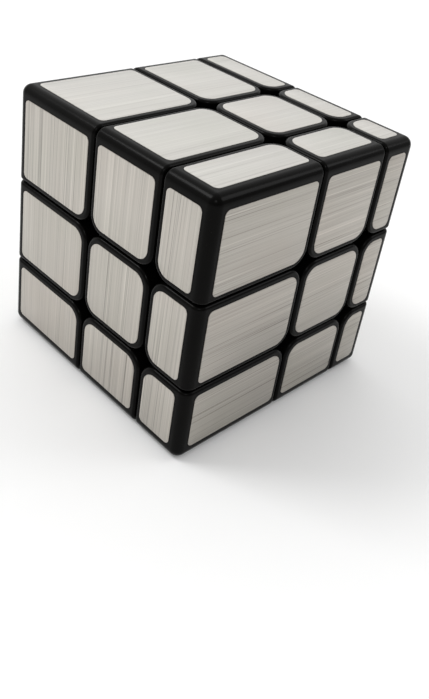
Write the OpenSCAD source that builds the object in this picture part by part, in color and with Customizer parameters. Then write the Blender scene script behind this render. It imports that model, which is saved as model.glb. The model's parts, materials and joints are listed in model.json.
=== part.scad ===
// Mirror block cube: a 3 x 3 x 3 twisting puzzle whose six outer layers all have different thicknesses.
// 26 pieces turn round a six-armed core. The frame: +Z up, front face at -Y, right face at +X,
// origin at the middle of the bottom face.

/* [Cube] */
// Edge length of the solved cube
cube_edge = 57; // [56.5:0.25:58]
// Thickness of the middle slice, the same on all three axes
slice = 19; // [18.8:0.1:19.2]
// Thickness of the right layer
right_layer = 13; // [12:0.25:14]
// Thickness of the back layer, the thinnest one
back_layer = 10; // [10:0.25:11]
// Thickness of the bottom layer
bottom_layer = 16.75; // [15:0.25:17]

/* [Plastic blocks] */
// Gap between neighbouring pieces
gap = 0.4; // [0.3:0.05:0.5]
// Rounding of the edges of the whole cube
edge_r = 2; // [1.6:0.1:2.6]
// Rounding of the rim of each block along a gap
rim_r = 0.7; // [0.5:0.1:0.8]
// Rounding of the block corners where four blocks meet
inner_r = 3.9; // [3.5:0.1:4.2]
// Wall thickness of the hollow blocks
wall = 1.5; // [1.3:0.1:1.6]

/* [Foil facets] */
// Thickness of a silver facet
foil_t = 0.3; // [0.2:0.05:0.3]
// How far a facet stands above the plastic
foil_proud = 0.1; // [0.05:0.05:0.15]
// Plastic margin from the middle of a gap to a facet
margin_gap = 1.5; // [1.4:0.1:1.8]
// Plastic margin from the face of the cube to a facet, along an outer edge
margin_edge = 2.75; // [2.6:0.05:3]
// Facet corner radius where four blocks meet
foil_r_in = 2.7; // [2.4:0.1:3]
// Facet corner radius elsewhere
foil_r_out = 1.1; // [1:0.1:1.6]

/* [Mechanism] */
// Radius of the sphere under which the feet run
track_r = 18.7; // [18.6:0.05:18.8]
// Half width of the cross-shaped tracks inside that sphere
foot_h = 6.5; // [6.4:0.1:6.8]
// Radius of the inner end of the feet
foot_inner_r = 10.5; // [10.4:0.1:10.8]
// Radius of the ball in the middle of the core
ball_r = 7; // [6.5:0.1:7.5]
// Radius of the six arms of the core
arm_r = 3.4; // [3.2:0.1:3.6]
// Radius of the screw shanks
screw_r = 1.5; // [1.4:0.05:1.5]
// Running clearance of a center piece on its screw
screw_fit = 0.08; // [0.05:0.01:0.1]
// Wire diameter of the springs
wire_d = 0.5; // [0.4:0.05:0.5]
// Thickness of the snap-in center caps
cap_t = 1; // [0.9:0.05:1]

/* [Hidden] */
$fn = 64;

h = slice / 2;
// distance from the core's middle to the outer faces: [minus side, plus side] of X, Y and Z
D = [[cube_edge - h - right_layer, h + right_layer],
     [cube_edge - h - back_layer, h + back_layer],
     [h + bottom_layer, cube_edge - h - bottom_layer]];
// the core's middle in the frame of the part
core_at = [D[0][0] - cube_edge / 2, D[1][0] - cube_edge / 2, D[2][0]];
// running clearance at the track sphere, on each side of it
track_gap = 0.1;
// gap of the glued joint between a block and its outer cap
joint = 0.05;
// unrounded zone round the neck of a corner piece
collar_r = 21.1;
// heights along each arm: core arm end, foot of the center piece, spring seat, washer, screw head, top of the head
arm_end = 10.3;
base_end = 10.7;
seat = 12.8;
washer_at = 15.2;
head_at = 15.6;
head_top = 17.2;

// which way a piece faces: each of X, Y and Z is -1, 0 or 1
function low(s, i) = s[i] < 0 ? -(D[i][0] - foil_proud) : s[i] > 0 ? h + gap / 2 : -(h - gap / 2);
function high(s, i) = s[i] > 0 ? D[i][1] - foil_proud : s[i] < 0 ? -(h + gap / 2) : h - gap / 2;
// is the side of axis i towards d (-1 or 1) an outer face of the cube
function outer(s, i, d) = s[i] == d;
function round_of(a, b) = a && b ? edge_r : a || b ? rim_r : inner_r;
function rounds(s, i, j) = [
  round_of(outer(s, i, -1), outer(s, j, -1)), round_of(outer(s, i, 1), outer(s, j, -1)),
  round_of(outer(s, i, 1), outer(s, j, 1)), round_of(outer(s, i, -1), outer(s, j, 1))];

// rectangle from a to b whose four corners have their own radii, anticlockwise from the low corner
module round_rect(a, b, r) {
  polygon([[a.x + r[0], a.y], [b.x - r[1], a.y], [b.x, a.y + r[1]], [b.x, b.y - r[2]],
           [b.x - r[2], b.y], [a.x + r[3], b.y], [a.x, b.y - r[3]], [a.x, a.y + r[0]]]);
  translate([a.x + r[0], a.y + r[0]]) circle(r[0]);
  translate([b.x - r[1], a.y + r[1]]) circle(r[1]);
  translate([b.x - r[2], b.y - r[2]]) circle(r[2]);
  translate([a.x + r[3], b.y - r[3]]) circle(r[3]);
}

// a flat shape drawn in the two axes other than i, and given depth from u to v along axis i
module along(i, u, v) {
  if (i == 0) rotate([90, 0, 90]) translate([0, 0, u]) linear_extrude(v - u) children();
  if (i == 1) rotate([90, 0, 0]) translate([0, 0, -v]) linear_extrude(v - u) children();
  if (i == 2) translate([0, 0, u]) linear_extrude(v - u) children();
}

function other(i) = i == 0 ? [1, 2] : i == 1 ? [0, 2] : [0, 1];

// turns a shape built along +Z so that it runs along axis i, towards d
module toward(i, d) {
  rotate(i == 0 ? [0, 90 * d, 0] : i == 1 ? [-90 * d, 0, 0] : [d > 0 ? 0 : 180, 0, 0]) children();
}

module span(a, b) {
  translate(a) cube(b - a);
}

// the rounded outer block of a piece
module block(s) {
  intersection() {
    along(2, low(s, 2) - 1, high(s, 2) + 1)
      round_rect([low(s, 0), low(s, 1)], [high(s, 0), high(s, 1)], rounds(s, 0, 1));
    along(0, low(s, 0) - 1, high(s, 0) + 1)
      round_rect([low(s, 1), low(s, 2)], [high(s, 1), high(s, 2)], rounds(s, 1, 2));
    along(1, low(s, 1) - 1, high(s, 1) + 1)
      round_rect([low(s, 0), low(s, 2)], [high(s, 0), high(s, 2)], rounds(s, 0, 2));
  }
}

// the same block with square edges, each side moved in by the given amounts:
// out_in on outer faces, gap_in on gap sides (negative moves a side out)
module plain_block(s, out_in, gap_in) {
  span([for (i = [0 : 2]) low(s, i) + (outer(s, i, -1) ? out_in : gap_in)],
       [for (i = [0 : 2]) high(s, i) - (outer(s, i, 1) ? out_in : gap_in)]);
}

// limits of a foot: it reaches past the block towards its neighbours, and is narrower along a free axis
module foot_box(s, reach) {
  a = foot_h + gap / 2;
  b = foot_h - gap / 2;
  span([for (i = [0 : 2]) s[i] < 0 ? -track_r - 2 : s[i] > 0 ? reach : -b],
       [for (i = [0 : 2]) s[i] > 0 ? track_r + 2 : s[i] < 0 ? -reach : b]);
}

// the foot and its neck
module foot(s) {
  difference() {
    union() {
      intersection() {
        foot_box(s, foot_h + gap / 2);
        sphere(track_r - track_gap);
      }
      intersection() {
        foot_box(s, h + gap / 2);
        sphere(track_r + 0.4);
      }
    }
    sphere(foot_inner_r);
  }
}

// outline of the silver facet on the face of axis i, grown by grow
module facet_outline(s, i, grow) {
  o = other(i);
  function flow(k) = (s[k] < 0 ? -D[k][0] + margin_edge : s[k] > 0 ? h + margin_gap : -h + margin_gap) - grow;
  function fhigh(k) = (s[k] > 0 ? D[k][1] - margin_edge : s[k] < 0 ? -h - margin_gap : h - margin_gap) + grow;
  function fr(a, b) = (a || b ? foil_r_out : foil_r_in) + grow;
  j = o[0];
  k = o[1];
  round_rect([flow(j), flow(k)], [fhigh(j), fhigh(k)],
    [fr(outer(s, j, -1), outer(s, k, -1)), fr(outer(s, j, 1), outer(s, k, -1)),
     fr(outer(s, j, 1), outer(s, k, 1)), fr(outer(s, j, -1), outer(s, k, 1))]);
}

// a plate on the face of axis i, from depth a to depth b under the face, grown by grow
module facet(s, i, a, b, grow) {
  if (s[i] > 0) along(i, D[i][1] - b, D[i][1] - a) facet_outline(s, i, grow);
  if (s[i] < 0) along(i, -D[i][0] + a, -D[i][0] + b) facet_outline(s, i, grow);
}

module facets(s) {
  for (i = [0 : 2]) if (s[i] != 0) facet(s, i, 0, foil_t, 0);
}

// silver foils of an edge or corner piece
module foils(s) {
  color([0.78, 0.77, 0.74]) translate(core_at) facets(s);
}

// outer cap of an edge or corner piece: its outer faces, one wall thick
module outer_cap(s) {
  difference() {
    block(s);
    plain_block(s, wall, -2);
    for (i = [0 : 2]) if (s[i] != 0) facet(s, i, -1, foil_t, joint);
  }
}

// inner body of an edge or corner piece: gap-side walls, neck and foot
module inner_body(s, collar) {
  difference() {
    union() {
      difference() {
        union() {
          intersection() {
            block(s);
            plain_block(s, wall + joint, -1);
          }
          if (collar) intersection() {
            plain_block(s, wall + joint, 0);
            sphere(collar_r);
          }
        }
        sphere(track_r + track_gap);
      }
      foot(s);
    }
    difference() {
      plain_block(s, -1, wall);
      sphere(track_r + track_gap + wall);
    }
  }
}

module edge_body(s) {
  color([0.06, 0.06, 0.065]) translate(core_at) {
    inner_body(s, false);
    outer_cap(s);
  }
}

module corner_body(s) {
  color([0.06, 0.06, 0.065]) translate(core_at) {
    inner_body(s, true);
    outer_cap(s);
  }
}

// depth of a center piece's outer face, along its own axis
function depth(i, d) = d > 0 ? D[i][1] : D[i][0];
function facing(i, d) = [for (k = [0 : 2]) k == i ? d : 0];

module center_base(i, d) {
  s = facing(i, d);
  color([0.06, 0.06, 0.065]) translate(core_at) difference() {
    union() {
      difference() {
        block(s);
        sphere(track_r + track_gap);
      }
      toward(i, d) translate([0, 0, base_end]) cylinder(r = foot_h - gap / 2 - 0.1, h = 19.2 - base_end);
    }
    facet(s, i, -1, cap_t, joint);
    difference() {
      toward(i, d) translate([-7, -7, foot_inner_r]) cube([14, 14, depth(i, d) - foot_inner_r]);
      sphere(track_r + track_gap + wall);
    }
    toward(i, d) {
      cylinder(r = screw_r + screw_fit, h = seat + 1);
      translate([0, 0, seat]) cylinder(r = 3, h = depth(i, d) - seat);
    }
  }
}

// snap-in cap that hides the screw, laminated with silver foil
module center_cap(i, d) {
  s = facing(i, d);
  z = depth(i, d) - cap_t;
  color([0.78, 0.77, 0.74]) translate(core_at) {
    facet(s, i, 0, cap_t, 0);
    toward(i, d)
      if (z - 0.8 > track_r + track_gap + wall) translate([-6.95, -6.95, z - 0.8]) cube([13.9, 13.9, 1]);
      else translate([0, 0, z - 0.8]) cylinder(r = 2.9, h = 1);
  }
}

module core() {
  color([0.85, 0.85, 0.82]) translate(core_at) difference() {
    union() {
      sphere(ball_r);
      for (i = [0 : 2], d = [-1, 1]) toward(i, d) cylinder(r = arm_r, h = arm_end);
    }
    for (i = [0 : 2], d = [-1, 1]) toward(i, d) translate([0, 0, 4.6]) cylinder(r = screw_r + 0.05, h = arm_end);
  }
}

module screw() {
  difference() {
    rotate_extrude() polygon([[0, 5], [screw_r - 0.5, 5], [screw_r, 5.8], [screw_r, head_at], [2.8, head_at],
      [2.8, head_top - 0.6], [2.2, head_top], [0, head_top]]);
    for (a = [0, 90]) rotate(a) translate([-1.6, -0.3, head_top - 1]) cube([3.2, 0.6, 2]);
  }
}

module tension_screws() {
  color("silver") translate(core_at) for (i = [0 : 2], d = [-1, 1]) toward(i, d) screw();
}

module spring_washers() {
  color("lightgrey") translate(core_at) for (i = [0 : 2], d = [-1, 1]) toward(i, d)
    translate([0, 0, washer_at]) difference() {
      cylinder(r = 2.8, h = head_at - washer_at);
      translate([0, 0, -1]) cylinder(r = screw_r + 0.1, h = 3);
    }
}

// a round wire wound from height a to height b at radius r
module coil(r, a, b, turns, per_turn, sides) {
  n = turns * per_turn;
  p = wire_d / 2;
  pts = [for (t = [0 : n], k = [0 : sides - 1])
    let (w = 360 * t / per_turn, u = 360 * k / sides, q = r + p * cos(u))
    [q * cos(w), q * sin(w), a + p + (b - a - wire_d) * t / n + p * sin(u)]];
  faces = concat([[for (k = [0 : sides - 1]) k]],
    [for (t = [0 : n - 1], k = [0 : sides - 1])
      [t * sides + k, (t + 1) * sides + k, (t + 1) * sides + (k + 1) % sides, t * sides + (k + 1) % sides]],
    [[for (k = [sides - 1 : -1 : 0]) n * sides + k]]);
  polyhedron(pts, faces);
}

module tension_springs() {
  color("gainsboro") translate(core_at) for (i = [0 : 2], d = [-1, 1]) toward(i, d)
    coil(2.45, seat + 0.02, washer_at - 0.02, 3, 12, 6);
}

core();
tension_screws();
tension_springs();
spring_washers();
center_base(0, 1);  // center_right_base
center_base(0, -1);  // center_left_base
center_base(1, 1);  // center_back_base
center_base(1, -1);  // center_front_base
center_base(2, 1);  // center_top_base
center_base(2, -1);  // center_bottom_base
center_cap(0, 1);  // center_right_cap
center_cap(0, -1);  // center_left_cap
center_cap(1, 1);  // center_back_cap
center_cap(1, -1);  // center_front_cap
center_cap(2, 1);  // center_top_cap
center_cap(2, -1);  // center_bottom_cap
edge_body([1, 1, 0]);  // edge_right_back_body
edge_body([1, -1, 0]);  // edge_right_front_body
edge_body([1, 0, 1]);  // edge_right_top_body
edge_body([1, 0, -1]);  // edge_right_bottom_body
edge_body([-1, 1, 0]);  // edge_left_back_body
edge_body([-1, -1, 0]);  // edge_left_front_body
edge_body([-1, 0, 1]);  // edge_left_top_body
edge_body([-1, 0, -1]);  // edge_left_bottom_body
edge_body([0, 1, 1]);  // edge_back_top_body
edge_body([0, 1, -1]);  // edge_back_bottom_body
edge_body([0, -1, 1]);  // edge_front_top_body
edge_body([0, -1, -1]);  // edge_front_bottom_body
foils([1, 1, 0]);  // edge_right_back_foils
foils([1, -1, 0]);  // edge_right_front_foils
foils([1, 0, 1]);  // edge_right_top_foils
foils([1, 0, -1]);  // edge_right_bottom_foils
foils([-1, 1, 0]);  // edge_left_back_foils
foils([-1, -1, 0]);  // edge_left_front_foils
foils([-1, 0, 1]);  // edge_left_top_foils
foils([-1, 0, -1]);  // edge_left_bottom_foils
foils([0, 1, 1]);  // edge_back_top_foils
foils([0, 1, -1]);  // edge_back_bottom_foils
foils([0, -1, 1]);  // edge_front_top_foils
foils([0, -1, -1]);  // edge_front_bottom_foils
corner_body([1, 1, 1]);  // corner_right_back_top_body
corner_body([1, 1, -1]);  // corner_right_back_bottom_body
corner_body([1, -1, 1]);  // corner_right_front_top_body
corner_body([1, -1, -1]);  // corner_right_front_bottom_body
corner_body([-1, 1, 1]);  // corner_left_back_top_body
corner_body([-1, 1, -1]);  // corner_left_back_bottom_body
corner_body([-1, -1, 1]);  // corner_left_front_top_body
corner_body([-1, -1, -1]);  // corner_left_front_bottom_body
foils([1, 1, 1]);  // corner_right_back_top_foils
foils([1, 1, -1]);  // corner_right_back_bottom_foils
foils([1, -1, 1]);  // corner_right_front_top_foils
foils([1, -1, -1]);  // corner_right_front_bottom_foils
foils([-1, 1, 1]);  // corner_left_back_top_foils
foils([-1, 1, -1]);  // corner_left_back_bottom_foils
foils([-1, -1, 1]);  // corner_left_front_top_foils
foils([-1, -1, -1]);  // corner_left_front_bottom_foils
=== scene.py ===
import json
import math
import bmesh
import bpy
from mathutils import Matrix, Vector

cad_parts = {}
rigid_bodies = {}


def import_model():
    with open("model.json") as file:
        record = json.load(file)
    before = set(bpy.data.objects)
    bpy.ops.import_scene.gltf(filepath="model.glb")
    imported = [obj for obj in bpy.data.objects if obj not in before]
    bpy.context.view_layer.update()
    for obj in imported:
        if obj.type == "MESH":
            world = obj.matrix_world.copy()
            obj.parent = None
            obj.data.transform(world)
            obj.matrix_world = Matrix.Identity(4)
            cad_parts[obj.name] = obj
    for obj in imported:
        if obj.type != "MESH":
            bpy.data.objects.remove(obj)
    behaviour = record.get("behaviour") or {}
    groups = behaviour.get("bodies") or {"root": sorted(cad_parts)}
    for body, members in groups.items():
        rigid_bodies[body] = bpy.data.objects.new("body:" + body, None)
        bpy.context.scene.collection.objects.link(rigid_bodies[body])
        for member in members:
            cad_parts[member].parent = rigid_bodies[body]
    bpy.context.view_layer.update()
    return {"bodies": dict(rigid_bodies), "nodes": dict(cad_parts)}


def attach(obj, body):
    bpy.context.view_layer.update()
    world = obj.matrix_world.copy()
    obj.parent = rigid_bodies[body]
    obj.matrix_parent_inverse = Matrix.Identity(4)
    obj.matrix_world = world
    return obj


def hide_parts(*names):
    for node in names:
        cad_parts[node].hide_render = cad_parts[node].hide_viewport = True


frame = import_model()
MM = 0.001

# ---------------------------------------------------------------- sizes, in millimetres, round the core's middle
EDGE, SLICE = 57.0, 19.0
H = SLICE / 2
LAYER = {"right": 13.0, "back": 10.0, "bottom": 16.75}
DEPTH = [[EDGE - H - LAYER["right"], H + LAYER["right"]],
         [EDGE - H - LAYER["back"], H + LAYER["back"]],
         [H + LAYER["bottom"], EDGE - H - LAYER["bottom"]]]
CORE = Vector((DEPTH[0][0] - EDGE / 2, DEPTH[1][0] - EDGE / 2, DEPTH[2][0]))
GAP, EDGE_R, RIM_R, INNER_R, WALL = 0.4, 2.0, 0.7, 3.9, 1.5
FOIL_T, PROUD, M_GAP, M_EDGE = 0.3, 0.1, 1.5, 2.75
FOIL_R_IN, FOIL_R_OUT = 2.7, 1.1
TRACK_R, TRACK_GAP, FOOT_H, FOOT_IN = 18.7, 0.1, 6.5, 10.5
BASE_END, SEAT, CAP_T = 10.7, 12.8, 1.0
SEAM = 0.07

SIDE = {"right": (0, 1), "left": (0, -1), "back": (1, 1), "front": (1, -1), "top": (2, 1), "bottom": (2, -1)}


def direction(name):
    s = [0, 0, 0]
    for w in name.split("_")[1:]:
        s[SIDE[w][0]] = SIDE[w][1]
    return s


def low(s, i):
    return -(DEPTH[i][0] - PROUD) if s[i] < 0 else H + GAP / 2 if s[i] > 0 else -(H - GAP / 2)


def high(s, i):
    return DEPTH[i][1] - PROUD if s[i] > 0 else -(H + GAP / 2) if s[i] < 0 else H - GAP / 2


# ---------------------------------------------------------------- materials
def new_mat(name):
    m = bpy.data.materials.new(name)
    m.use_nodes = True
    nt = m.node_tree
    return m, nt, nt.nodes["Principled BSDF"]


def node(nt, kind, **vals):
    n = nt.nodes.new(kind)
    for k, v in vals.items():
        setattr(n, k, v)
    return n


def ramp(nt, stops):
    r = nt.nodes.new("ShaderNodeValToRGB")
    e = r.color_ramp.elements
    e[0].position, e[0].color = stops[0][0], stops[0][1]
    e[1].position, e[1].color = stops[-1][0], stops[-1][1]
    for p, c in stops[1:-1]:
        x = e.new(p)
        x.color = c
    return r


def grey(v, a=1.0):
    return (v, v, v, a)


def noise(nt, vec, scale, detail=3.0, rough=0.5, dist=0.0):
    n = nt.nodes.new("ShaderNodeTexNoise")
    n.inputs["Scale"].default_value = scale
    n.inputs["Detail"].default_value = detail
    n.inputs["Roughness"].default_value = rough
    n.inputs["Distortion"].default_value = dist
    nt.links.new(vec, n.inputs["Vector"])
    return n


def mapping(nt, scale, own=False):
    """The piece's own coordinates, scaled. With own, each piece reads a different stretch of the pattern, as facets cut from different places of a sheet do."""
    tc = nt.nodes.new("ShaderNodeTexCoord")
    mp = nt.nodes.new("ShaderNodeMapping")
    mp.inputs["Scale"].default_value = scale
    at = tc.outputs["Object"]
    if own:
        info = nt.nodes.new("ShaderNodeObjectInfo")
        shift = node(nt, "ShaderNodeVectorMath", operation="MULTIPLY_ADD")
        shift.inputs[1].default_value = (0.5, 0.43, 0.61)
        nt.links.new(info.outputs["Random"], shift.inputs[0])
        nt.links.new(at, shift.inputs[2])
        at = shift.outputs["Vector"]
    nt.links.new(at, mp.inputs["Vector"])
    return mp.outputs["Vector"]


def brushed(name, along, con=1.0, warm=0.87, tone=0.95):
    """Silver foil brushed along axis `along` (0, 1 or 2): long fine scratches, wider soft streaks and a faint
    cloudiness. The tone factor scales the whole colour; the side foils get a lower tone, which is painted shade.
    """
    m, nt, b = new_mat(name)
    b.inputs["Metallic"].default_value = 1.0
    fine = [9000.0] * 3
    fine[along] = 45.0
    mid = [3900.0] * 3
    mid[along] = 11.0
    wide = [900.0] * 3
    wide[along] = 9.0
    f = noise(nt, mapping(nt, fine, True), 1.0, 1.0, 0.6)
    g = noise(nt, mapping(nt, mid, True), 1.0, 2.0, 0.7)
    w = noise(nt, mapping(nt, wide, True), 1.0, 2.0, 0.5)
    cloud = noise(nt, mapping(nt, (45, 45, 45), True), 1.0, 3.0, 0.5)
    # tone darkens every stop of the colour; below the top foil's value it is painted shade on the side foils
    def silver(v):
        v = tone * (0.60 + con * (v - 0.60))
        return (v, v * (0.5 + warm / 2 + 0.012), v * warm, 1)

    c1 = ramp(nt, [(0.28, silver(0.38)), (0.38, silver(0.535)), (0.45, silver(0.60)), (0.60, silver(0.625)), (0.72, silver(0.73))])
    nt.links.new(g.outputs["Fac"], c1.inputs["Fac"])
    c2 = ramp(nt, [(0.32, (0.955, 0.952, 0.948, 1)), (0.68, (1.0, 1.0, 1.0, 1))])
    nt.links.new(w.outputs["Fac"], c2.inputs["Fac"])
    c3 = ramp(nt, [(0.28, (0.958, 0.968, 0.945, 1)), (0.5, (1.0, 1.0, 0.995, 1)), (0.72, (1.0, 0.982, 0.970, 1))])
    nt.links.new(cloud.outputs["Fac"], c3.inputs["Fac"])
    m1 = node(nt, "ShaderNodeMix", data_type="RGBA", blend_type="MULTIPLY")
    m1.inputs["Factor"].default_value = 1.0
    nt.links.new(c1.outputs["Color"], m1.inputs[6])
    nt.links.new(c2.outputs["Color"], m1.inputs[7])
    m2 = node(nt, "ShaderNodeMix", data_type="RGBA", blend_type="MULTIPLY")
    m2.inputs["Factor"].default_value = 1.0
    nt.links.new(m1.outputs[2], m2.inputs[6])
    nt.links.new(c3.outputs["Color"], m2.inputs[7])
    nt.links.new(m2.outputs[2], b.inputs["Base Color"])
    r1 = ramp(nt, [(0.25, grey(0.34)), (0.75, grey(0.50))])
    nt.links.new(f.outputs["Fac"], r1.inputs["Fac"])
    nt.links.new(r1.outputs["Color"], b.inputs["Roughness"])
    add = node(nt, "ShaderNodeMath", operation="MULTIPLY_ADD")
    add.inputs[1].default_value = 0.5
    nt.links.new(f.outputs["Fac"], add.inputs[0])
    nt.links.new(g.outputs["Fac"], add.inputs[2])
    bump = nt.nodes.new("ShaderNodeBump")
    bump.inputs["Strength"].default_value = 0.22 * con
    bump.inputs["Distance"].default_value = 0.00004
    nt.links.new(add.outputs[0], bump.inputs["Height"])
    nt.links.new(bump.outputs["Normal"], b.inputs["Normal"])
    return m


def plastic(name, lo, hi, r_lo, r_hi, bump_s, scale=900.0, spec=0.5):
    """Moulded plastic: a very fine surface texture, patches that have been handled smoother, and a little dust in the tone."""
    m, nt, b = new_mat(name)
    fine = noise(nt, mapping(nt, (scale,) * 3), 1.0, 3.0, 0.55)
    wide = noise(nt, mapping(nt, (120, 120, 120)), 1.0, 3.0, 0.5)
    c = ramp(nt, [(0.3, lo), (0.7, hi)])
    nt.links.new(wide.outputs["Fac"], c.inputs["Fac"])
    nt.links.new(c.outputs["Color"], b.inputs["Base Color"])
    r = ramp(nt, [(0.3, grey(r_lo)), (0.7, grey(r_hi))])
    nt.links.new(wide.outputs["Fac"], r.inputs["Fac"])
    nt.links.new(r.outputs["Color"], b.inputs["Roughness"])
    bump = nt.nodes.new("ShaderNodeBump")
    bump.inputs["Strength"].default_value = bump_s
    bump.inputs["Distance"].default_value = 0.00003
    nt.links.new(fine.outputs["Fac"], bump.inputs["Height"])
    nt.links.new(bump.outputs["Normal"], b.inputs["Normal"])
    b.inputs["IOR"].default_value = 1.5
    b.inputs["Specular IOR Level"].default_value = spec
    return m


def zinc(name):
    m, nt, b = new_mat(name)
    b.inputs["Metallic"].default_value = 1.0
    n = noise(nt, mapping(nt, (700, 700, 700)), 1.0, 4.0, 0.6)
    c = ramp(nt, [(0.3, (0.50, 0.50, 0.50, 1)), (0.7, (0.68, 0.68, 0.66, 1))])
    nt.links.new(n.outputs["Fac"], c.inputs["Fac"])
    nt.links.new(c.outputs["Color"], b.inputs["Base Color"])
    r = ramp(nt, [(0.3, grey(0.24)), (0.7, grey(0.40))])
    nt.links.new(n.outputs["Fac"], r.inputs["Fac"])
    nt.links.new(r.outputs["Color"], b.inputs["Roughness"])
    return m


# The three foils differ in brush direction, streak contrast and tone; the lower tone of the side foils is painted
# shade, darkest on the right and left faces and less dark on the front and back.
FOIL = {0: brushed("foil_side_y_painted_shade", 1, 1.65, tone=0.715), 1: brushed("foil_side_z_painted_shade", 2, 1.55, tone=0.83), 2: brushed("foil_top_y", 1, 0.62, 0.93)}
BLACK = plastic("black_abs", (0.0012, 0.0011, 0.0009, 1), (0.0021, 0.0020, 0.0017, 1), 0.17, 0.26, 0.10, spec=0.055)
CORE_MAT = plastic("core_nylon", (0.70, 0.69, 0.64, 1), (0.78, 0.77, 0.73, 1), 0.45, 0.58, 0.12)
STEEL = zinc("zinc_steel")


# ---------------------------------------------------------------- mesh helpers
def to_object(name, bm, mat, smooth_deg=40.0):
    """A mesh in millimetres round the core's middle becomes an object in the row frame, in metres."""
    bmesh.ops.dissolve_degenerate(bm, dist=0.0008, edges=bm.edges)
    bmesh.ops.delete(bm, geom=[e for e in bm.edges if not e.link_faces], context="EDGES")
    bmesh.ops.delete(bm, geom=[v for v in bm.verts if not v.link_edges], context="VERTS")
    bmesh.ops.transform(bm, matrix=Matrix.Scale(MM, 4) @ Matrix.Translation(CORE), verts=bm.verts)
    me = bpy.data.meshes.new(name)
    bm.to_mesh(me)
    bm.free()
    finish_mesh(me, smooth_deg)
    me.materials.append(mat)
    o = bpy.data.objects.new(name, me)
    bpy.context.scene.collection.objects.link(o)
    return o


def finish_mesh(me, smooth_deg):
    me.shade_smooth()
    me.set_sharp_from_angle(angle=math.radians(smooth_deg))


def weighted(o):
    w = o.modifiers.new("weighted", "WEIGHTED_NORMAL")
    w.keep_sharp = True
    w.weight = 80
    return o


def box_bm(lo, hi):
    bm = bmesh.new()
    v = [bm.verts.new((x, y, z)) for x in (lo[0], hi[0]) for y in (lo[1], hi[1]) for z in (lo[2], hi[2])]
    for q in ((0, 1, 3, 2), (4, 6, 7, 5), (0, 4, 5, 1), (2, 3, 7, 6), (0, 2, 6, 4), (1, 5, 7, 3)):
        bm.faces.new([v[k] for k in q])
    bmesh.ops.recalc_face_normals(bm, faces=bm.faces)
    return bm


def rounded_block(s):
    """The outer block of a piece: broad rounds on the cube's own edges, deep rounds where four blocks meet, and a small rolled rim everywhere else."""
    lo, hi = [low(s, i) for i in range(3)], [high(s, i) for i in range(3)]
    bm = box_bm(lo, hi)

    def is_outer(f):
        n = f.normal
        k = max(range(3), key=lambda i: abs(n[i]))
        return s[k] != 0 and (n[k] > 0) == (s[k] > 0)

    bm.normal_update()
    inner, outer = [], []
    for e in bm.edges:
        a, b = (is_outer(f) for f in e.link_faces)
        if not a and not b:
            inner.append(e)
        elif a and b:
            outer.append(e)
    kw = dict(offset_type="OFFSET", profile=0.5, affect="EDGES", clamp_overlap=False)
    outer_pts = [tuple((e.verts[0].co + e.verts[1].co) / 2) for e in outer]
    bmesh.ops.bevel(bm, geom=inner, offset=INNER_R, segments=12, **kw)
    if outer_pts:
        again = [e for e in bm.edges if any(((e.verts[0].co + e.verts[1].co) / 2 - Vector(p)).length < INNER_R + 0.01 and e.calc_length() > 2.5
                 and len(e.link_faces) == 2 and all(face_axis_outer(f, s) for f in e.link_faces) for p in outer_pts)]
        bmesh.ops.bevel(bm, geom=again, offset=EDGE_R, segments=10, **kw)
    bm.normal_update()
    rims = [e for e in bm.edges if len(e.link_faces) == 2 and e.calc_face_angle() > math.radians(50)]
    bmesh.ops.bevel(bm, geom=rims, offset=RIM_R, segments=5, **kw)
    bmesh.ops.remove_doubles(bm, verts=bm.verts, dist=0.002)
    bmesh.ops.recalc_face_normals(bm, faces=bm.faces)
    return bm


def face_axis_outer(f, s):
    n = f.normal
    k = max(range(3), key=lambda i: abs(n[i]))
    return abs(n[k]) > 0.999 and s[k] != 0 and (n[k] > 0) == (s[k] > 0)


def sphere_bm(r, seg=96):
    bm = bmesh.new()
    bmesh.ops.create_uvsphere(bm, u_segments=seg, v_segments=seg // 2, radius=r)
    return bm


def obj_of(bm, name="tmp"):
    me = bpy.data.meshes.new(name)
    bm.to_mesh(me)
    bm.free()
    o = bpy.data.objects.new(name, me)
    bpy.context.scene.collection.objects.link(o)
    return o


def boolean(a, b, op):
    """bmesh a and bmesh b joined by an exact boolean; both are used up."""
    oa, ob = obj_of(a, "tmp_a"), obj_of(b, "tmp_b")
    m = oa.modifiers.new("b", "BOOLEAN")
    m.operation, m.object, m.solver = op, ob, "EXACT"
    dg = bpy.context.evaluated_depsgraph_get()
    out = bmesh.new()
    out.from_object(oa, dg)
    for o in (oa, ob):
        me = o.data
        bpy.data.objects.remove(o)
        bpy.data.meshes.remove(me)
    return out


def inset_box(s, out_in, gap_in):
    lo = [low(s, i) + (out_in if s[i] < 0 else gap_in) for i in range(3)]
    hi = [high(s, i) - (out_in if s[i] > 0 else gap_in) for i in range(3)]
    return box_bm(lo, hi)


def foot_box(s, reach):
    a, b = reach, FOOT_H - GAP / 2
    lo = [-TRACK_R - 2 if s[i] < 0 else a if s[i] > 0 else -b for i in range(3)]
    hi = [TRACK_R + 2 if s[i] > 0 else -a if s[i] < 0 else b for i in range(3)]
    return box_bm(lo, hi)


def soften(bm, width, angle=50, segments=2):
    bm.normal_update()
    es = [e for e in bm.edges if len(e.link_faces) == 2 and e.calc_face_angle() > math.radians(angle)]
    bmesh.ops.bevel(bm, geom=es, offset=width, offset_type="OFFSET", segments=segments, profile=0.5, affect="EDGES", clamp_overlap=True)
    return bm


def foot_bm(s):
    """The foot that runs in the track, with the neck that joins it to the block."""
    foot = boolean(foot_box(s, FOOT_H + GAP / 2), sphere_bm(TRACK_R - TRACK_GAP), "INTERSECT")
    neck = boolean(foot_box(s, H + GAP / 2), sphere_bm(TRACK_R + 0.6), "INTERSECT")
    both = boolean(foot, neck, "UNION")
    return boolean(both, sphere_bm(FOOT_IN, 64), "DIFFERENCE")


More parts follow.
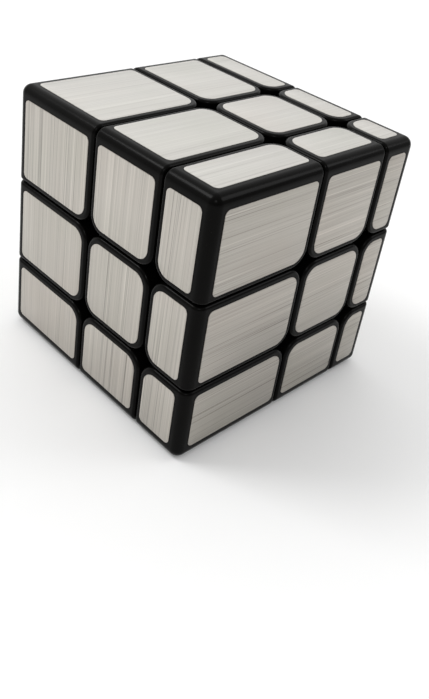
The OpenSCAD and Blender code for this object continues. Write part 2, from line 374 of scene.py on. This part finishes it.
def facet_outline(s, i, grow=0.0):
    """Rounded outline of the facet on the face of axis i, as points in that face's two axes."""
    j, k = [a for a in range(3) if a != i]

    def lim(a):
        lo = -DEPTH[a][0] + M_EDGE if s[a] < 0 else H + M_GAP if s[a] > 0 else -H + M_GAP
        hi = DEPTH[a][1] - M_EDGE if s[a] > 0 else -H - M_GAP if s[a] < 0 else H - M_GAP
        return lo - grow, hi + grow

    (u0, u1), (v0, v1) = lim(j), lim(k)
    pts = []
    for cu, cv, a0 in ((u1, v1, 0), (u0, v1, 90), (u0, v0, 180), (u1, v0, 270)):
        at_outer = (s[j] != 0 and (cu == u1) == (s[j] > 0)) or (s[k] != 0 and (cv == v1) == (s[k] > 0))
        r = (FOIL_R_OUT if at_outer else FOIL_R_IN) + grow
        ou, ov = cu - r * (1 if cu == u1 else -1), cv - r * (1 if cv == v1 else -1)
        for t in range(11):
            a = math.radians(a0 + 9 * t)
            pts.append((ou + r * math.cos(a), ov + r * math.sin(a)))
    return j, k, pts


def plate_bm(s, i, thick, lip=0.05):
    """A facet: a thin plate on the face of axis i, with its outer rim rolled over by lip."""
    j, k, pts = facet_outline(s, i)
    face = DEPTH[i][1] if s[i] > 0 else -DEPTH[i][0]
    inward = -1 if s[i] > 0 else 1
    bm = bmesh.new()
    cu = sum(p[0] for p in pts) / len(pts)
    cv = sum(p[1] for p in pts) / len(pts)
    ulen = (max(p[0] for p in pts) - min(p[0] for p in pts)) / 2
    vlen = (max(p[1] for p in pts) - min(p[1] for p in pts)) / 2
    rings = []
    for inset, depth in ((0.0, thick), (0.0, lip), (lip * 0.3, lip * 0.3), (lip, 0.0)):
        ring = []
        for u, v in pts:
            c = [0, 0, 0]
            c[i] = face + inward * depth
            c[j] = cu + (u - cu) * (1 - inset / ulen)
            c[k] = cv + (v - cv) * (1 - inset / vlen)
            ring.append(bm.verts.new(c))
        rings.append(ring)
    n = len(pts)
    bm.faces.new(rings[0])
    for a, b in zip(rings, rings[1:]):
        for t in range(n):
            bm.faces.new((a[t], a[(t + 1) % n], b[(t + 1) % n], b[t]))
    bm.faces.new(list(reversed(rings[-1])))
    bmesh.ops.recalc_face_normals(bm, faces=bm.faces)
    return bm


def toward(i, d):
    return Vector([d if a == i else 0 for a in range(3)]).to_track_quat("Z", "Y").to_matrix().to_4x4()


def cyl_bm(r, z0, z1, i, d, seg=64):
    bm = bmesh.new()
    bmesh.ops.create_cone(bm, cap_ends=True, segments=seg, radius1=r, radius2=r, depth=z1 - z0)
    bmesh.ops.transform(bm, matrix=toward(i, d) @ Matrix.Translation((0, 0, (z0 + z1) / 2)), verts=bm.verts)
    return bm


NAMES = {(i, d): w for w, (i, d) in SIDE.items()}


def ride(o, body, slot, *nodes):
    if nodes:
        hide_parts(*nodes)
    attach(o, body)
    return o


# ---------------------------------------------------------------- edge and corner pieces
def piece(body):
    s = direction(body)
    block = rounded_block(s)
    shell_core = inset_box(s, WALL, -2.0)
    cap = boolean(block.copy(), shell_core, "DIFFERENCE")
    inner = boolean(block, inset_box(s, WALL + SEAM, -1.0), "INTERSECT")
    if all(s):
        collar = boolean(inset_box(s, WALL + SEAM, 0.0), sphere_bm(21.1), "INTERSECT")
        inner = boolean(inner, collar, "UNION")
    inner = boolean(inner, sphere_bm(TRACK_R + TRACK_GAP), "DIFFERENCE")
    inner = boolean(inner, foot_bm(s), "UNION")
    o = weighted(to_object(body + "_outer_cap", cap, BLACK))
    ride(o, body, "black_plastic", body + "_body")
    o = weighted(to_object(body + "_inner_body", inner, BLACK))
    ride(o, body, "black_plastic", body + "_body")
    for i in range(3):
        if s[i]:
            f = to_object(f"{body}_foil_{NAMES[(i, s[i])]}", plate_bm(s, i, FOIL_T), FOIL[i], 30)
            ride(f, body, "brushed_foil", body + "_foils")


# ---------------------------------------------------------------- center pieces
def center(body):
    s = direction(body)
    i = [abs(v) for v in s].index(1)
    d = s[i]
    block = boolean(rounded_block(s), sphere_bm(TRACK_R + TRACK_GAP), "DIFFERENCE")
    stem = boolean(cyl_bm(FOOT_H - GAP / 2 - 0.1, BASE_END, 19.2, i, d, 96), cyl_bm(1.58, BASE_END - 1, SEAT + 1, i, d, 48), "DIFFERENCE")
    stem = boolean(stem, cyl_bm(3.0, SEAT, 17.9, i, d, 48), "DIFFERENCE")
    base = boolean(block, stem, "UNION")
    o = weighted(to_object(body + "_housing", base, BLACK))
    ride(o, body, "black_plastic", body + "_base")
    f = to_object(body + "_silver_cap", plate_bm(s, i, FOIL_T + 0.2), FOIL[i], 30)
    ride(f, body, "brushed_foil", body + "_cap")


for b in frame["bodies"]:
    if b.startswith(("edge_", "corner_")):
        piece(b)
    elif b.startswith("center_"):
        center(b)

for n, mat in (("core", CORE_MAT), ("tension_screws", STEEL), ("tension_springs", STEEL), ("spring_washers", STEEL)):
    o = frame["nodes"][n]
    for k in range(max(1, len(o.material_slots))):
        if o.material_slots:
            o.material_slots[k].material = mat
        else:
            o.data.materials.append(mat)

# ---------------------------------------------------------------- floor, light, camera
bm = bmesh.new()
bmesh.ops.create_grid(bm, x_segments=1, y_segments=1, size=3.0)
me = bpy.data.meshes.new("floor")
bm.to_mesh(me)
bm.free()
floor = bpy.data.objects.new("floor", me)
floor.location = (0, 0, -0.00002)
bpy.context.scene.collection.objects.link(floor)
fm, nt, b = new_mat("floor_paper")
b.inputs["Base Color"].default_value = (0.92, 0.92, 0.92, 1)
b.inputs["Roughness"].default_value = 0.85
me.materials.append(fm)

world = bpy.data.worlds.new("studio")
bpy.context.scene.world = world
world.use_nodes = True
nt = world.node_tree
bg = nt.nodes["Background"]
tc = nt.nodes.new("ShaderNodeTexCoord")
dot = nt.nodes.new("ShaderNodeVectorMath")
dot.operation = "DOT_PRODUCT"
dot.inputs[1].default_value = (-0.78, 0.38, 0.50)
nt.links.new(tc.outputs["Generated"], dot.inputs[0])
rg = ramp(nt, [(0.0, (0.34, 0.34, 0.35, 1)), (0.5, (0.70, 0.70, 0.70, 1)), (1.0, (1.62, 1.62, 1.61, 1))])
half = node(nt, "ShaderNodeMath", operation="MULTIPLY_ADD")
half.inputs[1].default_value = 0.5
half.inputs[2].default_value = 0.5
nt.links.new(dot.outputs["Value"], half.inputs[0])
nt.links.new(half.outputs[0], rg.inputs["Fac"])
nt.links.new(rg.outputs["Color"], bg.inputs["Color"])
bg.inputs["Strength"].default_value = 0.79


def area(name, loc, target, size, power, color=(1, 1, 1)):
    l = bpy.data.lights.new(name, "AREA")
    l.shape = "RECTANGLE"
    l.size, l.size_y = size
    l.energy = power
    l.color = color
    o = bpy.data.objects.new(name, l)
    o.location = loc
    o.rotation_mode = "QUATERNION"
    o.rotation_quaternion = (Vector(target) - Vector(loc)).to_track_quat("-Z", "Y")
    bpy.context.scene.collection.objects.link(o)
    return o


area("key", (-0.75, -0.55, 1.1), (0, 0, 0.02), (0.5, 0.5), 6.2)
area("fill", (0.74, -0.66, 0.95), (0, 0, 0.02), (0.35, 0.35), 2.2)
area("rim", (0.62, 0.84, 0.80), (0, 0, 0.02), (0.5, 0.5), 2.0)

cam = bpy.data.cameras.new("camera")
cam.sensor_width = 36.0
cam.lens = 807.60 * 36.0 / 699.0
cam.shift_x = 0.0
cam.shift_y = -(349.5 - 240.0) / 699.0
cam.clip_start, cam.clip_end = 0.01, 20.0
right = Vector((0.68485868, 0.71551342, 0.13787367))
up = Vector((-0.44027864, 0.25556152, 0.86072239))
fwd = Vector((-0.58062321, 0.65017602, -0.49004880))
co = bpy.data.objects.new("camera", cam)
co.matrix_world = Matrix.Translation((0.1043518, -0.11246935, 0.11343099)) @ Matrix((right, up, -fwd)).transposed().to_4x4()
bpy.context.scene.collection.objects.link(co)
bpy.context.scene.camera = co

bpy.context.scene.view_settings.view_transform = "Standard"
